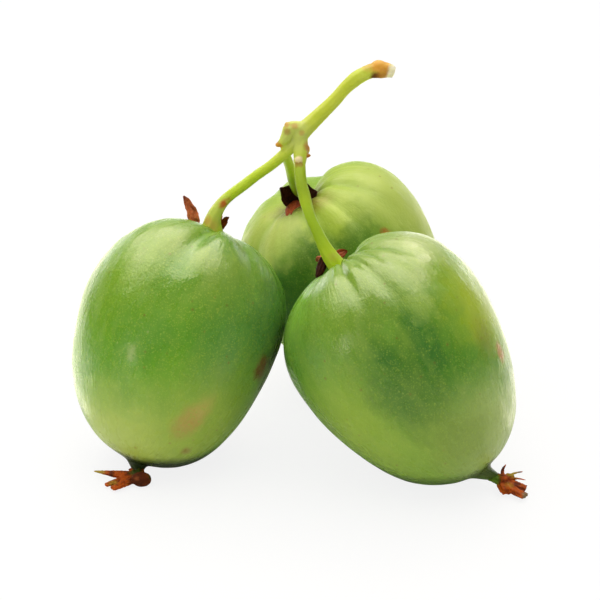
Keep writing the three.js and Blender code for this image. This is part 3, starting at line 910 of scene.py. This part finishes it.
# Each limb: the places along it, and its radius at each of them.
STALK_LIMBS = [
    ([HUB, (1.78, 10.7, 37.15), (3.75, 11.0, 39.1), (4.88, 11.2, 40.4), (6.05, 11.4, 41.45),
      (6.95, 11.5, 42.0), (7.8, 11.6, 42.35), (8.9, 11.7, 42.45), (9.7, 11.8, 42.35), (10.35, 11.8, 42.1)],
     [1.0, 0.84, 0.74, 0.72, 0.8, 0.79, 0.8, 0.92, 0.8, 0.62]),
    ([HUB, (-1.1, 10.3, 33.75), (-3.1, 9.9, 32.0), (-4.75, 9.6, 30.87), (-6.25, 9.3, 29.75),
      (-7.6, 9.0, 28.8), (-8.5, 8.8, 28.0), (-9.1, 8.6, 27.2), (-9.6, 8.4, 26.2),
      (-9.8, 8.35, 25.05), (-9.7, 8.3, 24.0)],
     [0.85, 0.66, 0.58, 0.58, 0.6, 0.6, 0.64, 0.72, 0.86, 1.15, 1.3]),
    ([HUB, (0.08, 10.0, 34.2), (0.06, 9.6, 33.7), (0.03, 9.1, 33.0), (0.0, 8.6, 32.4),
      (0.13, 7.2, 30.95), (0.45, 6.3, 29.85), (0.8, 5.45, 28.7), (1.27, 4.6, 27.55),
      (1.93, 3.95, 26.35), (2.6, 3.35, 25.1), (3.4, 2.95, 23.8), (4.1, 2.8, 22.8)],
     [0.95, 0.8, 0.78, 0.72, 0.64, 0.64, 0.68, 0.64, 0.6, 0.66, 0.74, 0.9, 1.0]),
    ([(-1.6, 10.5, 32.9), (-1.3, 12.2, 31.4), (-1.05, 14.6, 29.45), (-0.85, 17.6, 27.05),
      (-0.34, 20.5, 24.65), (0.1, 22.0, 23.4), (0.15, 22.3, 22.6)],
     [0.55, 0.56, 0.56, 0.55, 0.6, 0.7, 0.75]),
    ([(0.0, 10.5, 36.0), (-0.7, 10.4, 36.15), (-1.1, 10.3, 36.0), (-1.45, 10.2, 35.3),
      (-1.85, 10.1, 34.7), (-2.3, 10.05, 34.3)],
     [0.85, 0.76, 0.78, 0.68, 0.52, 0.34]),
]
# Each swelling: its centre and its half sizes.
STALK_KNOBS = [
    (HUB, (0.98, 0.95, 0.98)),
    ((-0.2, 8.6, 33.0), (0.55, 0.5, 0.45)),
    ((-1.38, 10.3, 36.55), (0.36, 0.34, 0.34)),
    ((-1.55, 10.25, 34.0), (0.65, 0.5, 0.75)),
    ((-2.42, 10.05, 34.28), (0.33, 0.3, 0.28)),
    ((0.7, 9.9, 33.8), (0.42, 0.36, 0.55)),
    ((0.82, 9.4, 33.26), (0.4, 0.3, 0.22)),
    ((8.65, 11.7, 42.97), (0.85, 0.75, 0.6)),
]
STALK_VOXEL = 0.075
stalk = grow_limbs("stalk_bark", STALK_LIMBS, STALK_KNOBS, STALK_VOXEL,
                   {"Flatness": 1.0, "Ridges": 7.0, "Ridge Depth": 0.035},
                   {"Smoothing": 5, "Grain Height": 0.07, "Grain Size": 0.45, "Seed": 5.0},
                   STALK_FINISH)

# %% [markdown]
# ## Withered sepals
# Round the end of each pedicel sit the sepals of the flower, dried to a dark red-brown. Each is
# a small blade that stands out from the stalk, cupped, ridged along its length and crumpled.
# All ten follow one rule. A sphere is pressed flat and laid along an arc through three points,
# and its cup, its curl and its crumpling are inputs of the tree. A bent plane would be simpler,
# but a blade that is thick in the middle and closed all round also casts a true shadow.

# %% The blade rule
BLADE_SIDES = 40
BLADE_RINGS = 36
BLADE_TAPER = 0.7
RIDGE_WAVES = 9.0
RIDGE_SHARE = 0.35
CRUMPLE_SCALE = 1.6
BLADE_INPUTS = {**dict.fromkeys(("Root", "Middle", "Tip", "Facing"), "Vector"),
                **floats("Half Width", "Thickness", "Cup", "Crumple", "Seed")}


def blade_rule():
    """A flat, cupped and crumpled blade along an arc from its root to its tip."""
    tree, given, size = new_rule("withered blade", BLADE_INPUTS)
    ball = add(tree, "GeometryNodeMeshUVSphere", {"Segments": BLADE_SIDES, "Rings": BLADE_RINGS})
    x, y, z = split(position(tree))
    t = (z + 1) * 0.5
    left = 1 - t
    root, tip = size["Root"], size["Tip"]
    control = weighed((size["Middle"], 2.0), (root, -0.5), (tip, -0.5))
    midrib = weighed((root, left * left), (control, t * left * 2), (tip, t * t))
    heading = weighed((root, -left), (control, left - t), (tip, t))
    across = vector_math("NORMALIZE", vector_math("CROSS_PRODUCT", heading, size["Facing"]))
    through = vector_math("NORMALIZE", vector_math("CROSS_PRODUCT", across, heading))
    section = (x * x + y * y).apply("SQRT").apply("MAXIMUM", 0.001)
    rounding = section ** 0.5
    side = x / section
    taper = 1 - t ** 2 * BLADE_TAPER
    width = side * rounding * taper * size["Half Width"]
    ridges = (side * RIDGE_WAVES).apply("COSINE") * size["Thickness"] * RIDGE_SHARE
    depth = y / section * rounding * size["Thickness"] * 0.5
    cupped = side * side * size["Half Width"] * size["Cup"] + ridges * rounding
    place = total(midrib, scaled(across, width), scaled(through, depth + cupped))

    inputs = {"Vector": place, "W": size["Seed"], "Scale": CRUMPLE_SCALE, "Detail": 3.0}
    hills = add(tree, "ShaderNodeTexNoise", inputs, noise_dimensions="4D").outputs["Color"]
    push = vector_math("SUBTRACT", hills, (0.5, 0.5, 0.5))
    crumpled = total(place, scaled(push, size["Crumple"] * rounding))
    blade = alter("SetPosition", ball.outputs["Mesh"], {"Position": crumpled})
    return close_rule(given, blade)


BLADE = blade_rule()
print("blade tree:", len(BLADE.nodes), "nodes")

# %% [markdown]
# ## The sepals' finish
# Dried sepals are papery: dark where they were thick, redder in streaks, and pale on their worn
# edges. One function makes the three tones of the sepals, because only their colours and their
# seeds differ. The darkest tone is partly the sepals' own dark brown and partly painted shade,
# for the sepals that lie in shade.

# %% Sepal finish
def dried_finish(name, dark, main, light, seed):
    """Papery dried tissue: dark at heart, redder in streaks, and pale on its worn edges."""
    constants = {"Subsurface Weight": 0.1, "Subsurface Radius": (1.0, 0.5, 0.2),
                 "Subsurface Scale": 0.3 * MM, "IOR": 1.2}
    material, shader, place = new_finish(name, constants)
    clouds = noise(place, 900, 3, 0.6, seed)
    grain = noise(place, 4500, 3, 0.65, seed)
    dried = cover(dark, main, ramp(clouds, 0.36, 0.62))
    dried = cover(dried, light, ramp(grain, 0.52, 0.72) * 0.6)
    dress(shader, dried, ramp(grain, 0.3, 0.7, *DRY_ROUGHNESS), grain + clouds)
    return material


RED_SEPAL = dried_finish("sepal red", "#964628", "#d8764a", "#e8ac7c", 31.0)
# Partly the sepals' own dark brown, partly painted shade.
DARK_SHADED_SEPAL = dried_finish("sepal dark and shaded", "#241009", "#3c1a0e", "#7a3a1c", 33.0)
RUST_SEPAL = dried_finish("sepal rust", "#5e2410", "#9a4418", "#bc7434", 35.0)
print("three sepal finishes")

# %% The sepals
# Each sepal: root, middle and tip of its midrib, facing, half width, cup and finish.
SEPALS = {
    "left_1": ([(-11.75, 9.3, 25.4), (-12.15, 9.6, 26.75), (-12.95, 10.0, 28.2)],
               (0.2, -1, 0.4), 0.72, 0.3, RED_SEPAL),
    "left_2": ([(-8.9, 9.3, 24.8), (-8.45, 9.1, 25.5), (-7.9, 8.9, 26.15)],
               (0.3, -1, 0.3), 0.52, 0.3, RUST_SEPAL),
    "left_3": ([(-9.3, 10.3, 24.7), (-9.2, 11.2, 25.4), (-8.9, 11.9, 26.3)],
               (0, -1, 1), 0.65, 0.3, RED_SEPAL),
    "right_1": ([(2.47, 3.1, 23.3), (2.14, 2.75, 22.4), (1.87, 2.4, 21.5)],
                (-0.5, -1, 0.6), 0.68, -0.3, DARK_SHADED_SEPAL),
    "right_2": ([(3.97, 4.4, 23.1), (4.5, 5.0, 23.3), (5.2, 5.5, 23.4)],
                (-0.3, -1, 0.8), 0.68, 0.3, RUST_SEPAL),
    "right_3": ([(3.0, 4.4, 23.2), (2.4, 5.1, 22.9), (1.9, 5.7, 22.1)],
                (-0.5, 0.5, 1), 0.65, 0.3, RED_SEPAL),
    "back_1": ([(-0.3, 21.0, 23.4), (-1.25, 20.2, 24.3), (-2.3, 19.5, 25.3)],
               (-0.3, -1, 0.6), 1.75, 0.3, DARK_SHADED_SEPAL),
    "back_2": ([(-0.45, 19.8, 23.3), (-0.8, 18.4, 22.9), (-1.05, 17.0, 22.3)],
               (0, -0.4, 1), 1.1, -0.3, RUST_SEPAL),
    "back_3": ([(0.7, 21.2, 23.8), (1.3, 20.6, 24.2), (2.0, 20.1, 24.6)],
               (0.3, -1, 0.4), 1.7, 0.3, DARK_SHADED_SEPAL),
    "back_4": ([(0.2, 23.2, 24.2), (0.15, 23.7, 24.8), (0.1, 24.2, 25.4)],
               (0, -1, 0.8), 0.5, 0.3, RED_SEPAL),
}
ROOT_REACH = 0.55
THICKNESS = 0.2
CRUMPLE = 0.5


def grow_sepal(name, midrib, facing, half_width, cup, finish, seed):
    """One withered sepal, whose root reaches in to the pedicel it grew from."""
    root, middle, tip = (Vector(point) for point in midrib)
    root = root - (middle - root).normalized() * ROOT_REACH
    piece = new_piece(f"sepal_{name}_blade")
    set_rule(piece, BLADE, {"Root": root, "Middle": middle, "Tip": tip, "Facing": Vector(facing),
                            "Half Width": half_width, "Thickness": THICKNESS, "Cup": cup,
                            "Crumple": CRUMPLE, "Seed": seed, "Finish": finish})
    return plant(piece)


sepals = {name: grow_sepal(name, *sepal, seed) for seed, (name, sepal) in enumerate(SEPALS.items())}
print(len(sepals), "sepals of", len(sepals["left_1"].data.polygons), "faces each")

# %% [markdown]
# ## Style tufts
# A kiwi flower has a crown of styles. They wither on the fruit and stay as a ragged brown tuft
# on its green neck, and here the tufts lie on the table. Each style is a flat strap with ridges
# along it, and all of a tuft's straps grow out of one collar, so the limb rule grows them too.
# Strands of hair would be quicker to make, but they would not be one closed solid piece.

# %% Style finish
# Place in the cluster's millimetres, radius, softness, colour and strength of each mark.
STYLE_MARKS = [
    # The dark greens on the left berry's neck, at -18.0 and -16.5, are painted shade, darkest on its right.
    ((20.9, -6.3, 1.1), 1.2, 0.3, "#5f8424", 0.95), ((-18.0, -4.3, 1.8), 1.1, 0.3, "#43611f", 0.95),
    ((-17.6, -5.9, 0.8), 1.3, 0.3, "#45200e", 0.9), ((-16.5, -5.5, 1.3), 0.5, 0.5, "#2f4a1c", 0.9),
    ((-18.0, -6.3, 1.25), 0.3, 0.5, "#96512a", 0.8), ((-22.3, -3.4, 0.8), 0.7, 0.5, "#b0a040", 0.8),
    ((-20.6, -6.0, 0.7), 0.5, 0.5, "#b8862c", 0.8), ((23.35, -5.9, 1.9), 0.75, 0.4, "#b59a30", 0.9),
    ((22.9, -7.6, 0.9), 0.5, 0.5, "#b8862c", 0.8), ((24.7, -9.0, 0.6), 0.45, 0.5, "#8d7f5e", 0.8),
]


def style_finish():
    """Dried styles: orange-brown straps, dark at the collar and straw-coloured in places."""
    material, shader, place = new_finish("dried style", {"IOR": 1.2})
    clouds = noise(place, 800, 3, 0.6, 41.0)
    grain = noise(place, 4200, 3, 0.65, 42.0)
    strap = layered("#782c0a", [
        ("#c2560f", ramp(clouds, 0.38, 0.56)),
        ("#c8982e", ramp(grain, 0.56, 0.74) * 0.5),
        ("#42200c", ramp(clouds, 0.46, 0.3) * 0.7),
    ])
    strap = marked(place, strap, on_cluster(STYLE_MARKS), (grain - 0.5) * (0.5 * MM))
    dress(shader, strap, ramp(grain, 0.3, 0.7, *DRY_ROUGHNESS), grain + clouds)
    return material


STYLE_FINISH = style_finish()
print("style finish ready")

# %% The tufts
# Each tuft: its swellings, the collar first, as a centre and half sizes, and its styles as a path
# with a half width along it.
TUFTS = {
    "left": ([((-17.85, -4.65, 0.75), (0.95, 0.65, 0.5)), ((-17.45, -5.8, 0.97), (1.1, 0.45, 0.92))], [
        ([(-20.4, -3.9, 0.65), (-22.85, -3.3, 0.72)], (0.8, 0.55, 0.1)),
        ([(-19.8, -5.1, 0.5), (-21.4, -6.1, 0.4)], (0.7, 0.5, 0.32)),
        ([(-19.2, -5.7, 0.5), (-20.6, -6.9, 0.4)], (0.7, 0.55, 0.42)),
        ([(-17.1, -5.0, 0.7), (-16.8, -5.4, 0.6)], (0.5, 0.4, 0.3)),
    ]),
    "right": ([((22.4, -6.5, 1.05), (0.7, 0.85, 0.8))], [
        ([(22.3, -5.4, 1.8), (22.7, -4.6, 2.2)], (0.3, 0.2, 0.08)),
        ([(23.4, -5.75, 1.6), (24.55, -5.15, 1.6)], (0.4, 0.2, 0.07)),
        ([(23.6, -6.35, 1.35), (24.85, -6.3, 1.15)], (0.4, 0.2, 0.07)),
        ([(22.9, -6.3, 1.5), (23.45, -6.1, 1.5)], (0.55, 0.55, 0.5)),
        ([(23.5, -7.05, 0.92), (24.75, -7.5, 0.66)], (0.7, 0.68, 0.55)),
        ([(23.2, -7.7, 0.8), (24.6, -9.0, 0.5)], (0.7, 0.68, 0.5)),
        ([(22.5, -7.2, 0.9), (22.75, -8.3, 0.72)], (0.75, 0.8, 0.75)),
    ]),
    "back": ([((15.45, 23.2, 0.8), (0.75, 0.85, 0.55))], [
        ([(15.5, 22.0, 0.6), (16.0, 20.6, 0.42)], (0.45, 0.25, 0.1)),
        ([(16.2, 22.6, 0.7), (17.5, 22.0, 0.6)], (0.45, 0.25, 0.1)),
        ([(16.3, 23.2, 0.65), (17.9, 23.5, 0.42)], (0.5, 0.4, 0.26)),
        ([(16.1, 24.0, 0.65), (17.2, 25.0, 0.45)], (0.5, 0.35, 0.18)),
        ([(15.5, 24.3, 0.65), (15.9, 25.6, 0.42)], (0.5, 0.4, 0.3)),
    ]),
}
NECK_RADIUS = 0.75
NECK_ROOT = 0.4
TUFT_VOXEL = 0.05


def beak_tip(side):
    """The tip of a berry's neck, in the cluster's own millimetres."""
    points = get_points(berries[side])
    told = np.empty(len(points) * 3, np.float32)
    berries[side].data.attributes["skin_direction"].data.foreach_get("vector", told)
    lowest = told.reshape(-1, 3)[:, 2].argmin()
    return (points[lowest] - cluster_shift) / MM


def grow_tuft(side, swellings, styles, seed):
    """A tuft of dried styles, joined to its berry's neck by a short collar."""
    tip = beak_tip(side)
    collar = swellings[0][0]
    neck = ([tuple(tip + (tip - collar) * NECK_ROOT), tuple(tip), collar], [NECK_RADIUS] * 3)
    limbs = [([collar, *path], half_widths) for path, half_widths in styles] + [neck]
    tuft = grow_limbs(f"style_tuft_{side}_straps", limbs, swellings, TUFT_VOXEL,
                      {"Flatness": 0.55, "Ridges": 7.0, "Ridge Depth": 0.16},
                      {"Smoothing": 2, "Grain Height": 0.16, "Grain Size": 0.3, "Seed": seed},
                      STYLE_FINISH)
    set_points(tuft, press_flat(get_points(tuft)))
    return tuft


tufts = {side: grow_tuft(side, *tuft, seed) for seed, (side, tuft) in enumerate(TUFTS.items())}

# %% [markdown]
# ## Table and surroundings
# A wide white table throws light back up on the undersides. Behind it stands a low white sweep,
# and the room in front is dim, so the cheeks stay deep green. What is seen past the table is
# plain white through the world's colour, and not from more light. The camera sees the table
# mostly as that same white too, so the cluster's soft shadow stays and the rest is even.

# %% Table
TABLE_SIZE = 4.0
TABLE_DROP = 0.02 * MM
TABLE_GLOW = 0.85


def light_paths(tree, *kinds):
    """1 for the named kinds of ray, and 0 for the others."""
    rays = add(tree, "ShaderNodeLightPath")
    share = Term(rays.outputs[f"Is {kinds[0]} Ray"])
    for kind in kinds[1:]:
        share = share.apply("MAXIMUM", rays.outputs[f"Is {kind} Ray"])
    return share


def table_finish():
    """Pale and matte. The camera sees most of it as plain white, and still some shadow."""
    constants = {"Roughness": 0.6, "Base Color": paint("#f1f0ec")}
    material, shader, _ = new_finish("white table", constants)
    tree = material.node_tree
    glow = add(tree, "ShaderNodeEmission", {"Strength": 1.0})
    seen = light_paths(tree, "Camera", "Transmission")
    mixer = add(tree, "ShaderNodeMixShader",
                {0: seen * TABLE_GLOW, 1: shader.outputs[0], 2: glow.outputs[0]})
    feed(tree.nodes["Material Output"].inputs["Surface"], mixer.outputs[0])
    return material


half = TABLE_SIZE / 2
corners = [(x, y, -TABLE_DROP) for x, y in ((-half, -half), (half, -half), (half, half), (-half, half))]
table_mesh = bpy.data.meshes.new("table")
table_mesh.from_pydata(corners, [], [(0, 1, 2, 3)])
table = new_piece("table", table_mesh)
table_mesh.materials.append(table_finish())
print("table", TABLE_SIZE, "m wide")

# %% World
AMBIENT = 0.22
SWEEP_HEIGHT = (0.32, 0.2)
SWEEP_SIDES = (0.62, 0.78)

world = bpy.data.worlds.new("studio")
bpy.context.scene.world = world
world.use_nodes = True
tree = world.node_tree
tree.nodes.clear()
_, behind, up = split(add(tree, "ShaderNodeTexCoord").outputs["Generated"])
sweep = ramp(up, *SWEEP_HEIGHT) * ramp(behind, *SWEEP_SIDES)
mirrored = light_paths(tree, "Glossy", "Transmission") * sweep
seen = mirrored.apply("MAXIMUM", light_paths(tree, "Camera"))
ambient = add(tree, "ShaderNodeBackground", {"Color": (1, 1, 1, 1), "Strength": AMBIENT})
white = add(tree, "ShaderNodeBackground", {"Color": (1, 1, 1, 1), "Strength": 1.0})
sky = add(tree, "ShaderNodeMixShader", {0: seen, 1: ambient.outputs[0], 2: white.outputs[0]})
add(tree, "ShaderNodeOutputWorld", {0: sky.outputs[0]})
print("ambient light", AMBIENT)

# %% [markdown]
# ## Lamps
# Small fruit is lit with one large softbox overhead, a little behind, so that its reflection
# lies on the shoulders and the front keeps its own colour. It is two lamps here, one that lights
# matte surfaces and one that only shows in gloss, because the shine is then set by itself. The
# other glossy lamps draw the small bright marks: the window a spot on each front, the cards that
# lie on the table low lines on the flanks, and the two reflectors a line inside the far edges.

# %% Lamps
def softbox(name, place, aim, size, radiance, tint, lights_matte, shows_in_gloss):
    """A rectangular lamp of an even brightness that faces a point."""
    width, depth = size
    lamp = bpy.data.objects.new(name, bpy.data.lights.new(name, "AREA"))
    bpy.context.scene.collection.objects.link(lamp)
    lamp.data.shape = "RECTANGLE"
    lamp.data.size = width
    lamp.data.size_y = depth
    lamp.data.energy = radiance * math.pi * width * depth
    lamp.data.color = tint
    lamp.location = place
    lamp.rotation_euler = (Vector(aim) - lamp.location).to_track_quat("-Z", "Y").to_euler()
    lamp.visible_diffuse = lights_matte
    lamp.visible_glossy = shows_in_gloss
    lamp.visible_camera = False
    return lamp


PLAIN = (1.0, 1.0, 1.0)
WARM = (1.0, 0.86, 0.78)
CREAM = (1.0, 0.92, 0.75)
# Each lamp: its place, the point it faces, its width and depth, its radiance and tint, whether it
# lights matte surfaces and whether it shows in gloss.
LAMPS = {
    "overhead softbox": ((-0.08, 0.285, 0.45), (-0.08, 0.285, 0), (0.78, 1.11), 1.6, PLAIN, True, False),
    "overhead shine": ((-0.15, 0.25, 0.449), (-0.15, 0.25, 0), (0.9, 0.7), 7.6, WARM, False, True),
    "front fill": ((-0.25, -0.5, 0.36), (0, 0, 0.015), (0.5, 0.5), 0.9, PLAIN, True, False),
    "window": ((-0.365, -0.335, 0.085), (0, 0, 0.015), (0.07, 0.09), 14.0, WARM, False, True),
    "left card": ((-0.0675, 0.245, 0.0005), (-0.0675, 0.245, 1), (0.075, 0.51), 2.1, CREAM, False, True),
    "right card": ((0.0675, 0.245, 0.0005), (0.0675, 0.245, 1), (0.075, 0.51), 1.7, CREAM, False, True),
    "rear card": ((0, 0.265, 0.0005), (0, 0.265, 1), (0.06, 0.47), 1.4, PLAIN, False, True),
    "left reflector": ((-0.32, 0.44, 0.07), (0, 0, 0.03), (0.26, 0.14), 2.4, PLAIN, False, True),
    "right reflector": ((0.3, 0.445, 0.06), (0, 0, 0.03), (0.2, 0.12), 3.0, PLAIN, False, True),
}
for name, setting in LAMPS.items():
    print(name, "gives", round(softbox(name, *setting).data.energy, 2), "W")

# %% [markdown]
# ## Handing the pieces to the frame
# Every grown piece rides on the one body of the cluster and stands for its node, whose frame
# piece is hidden.

# %% Attach the pieces
def hand_over(piece, node):
    """The piece moves with the cluster and stands for a node, which is hidden."""
    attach(piece, "root")
    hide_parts(node)


hand_over(stalk, "stalk")
for side in BERRIES:
    hand_over(berries[side], f"berry_{side}")
    hand_over(tufts[side], f"style_tuft_{side}")
for name, sepal in sepals.items():
    hand_over(sepal, f"sepal_{name}")
print("pieces handed over:", 1 + len(berries) + len(tufts) + len(sepals))

# %% Look
bpy.context.scene.view_settings.view_transform = "Standard"
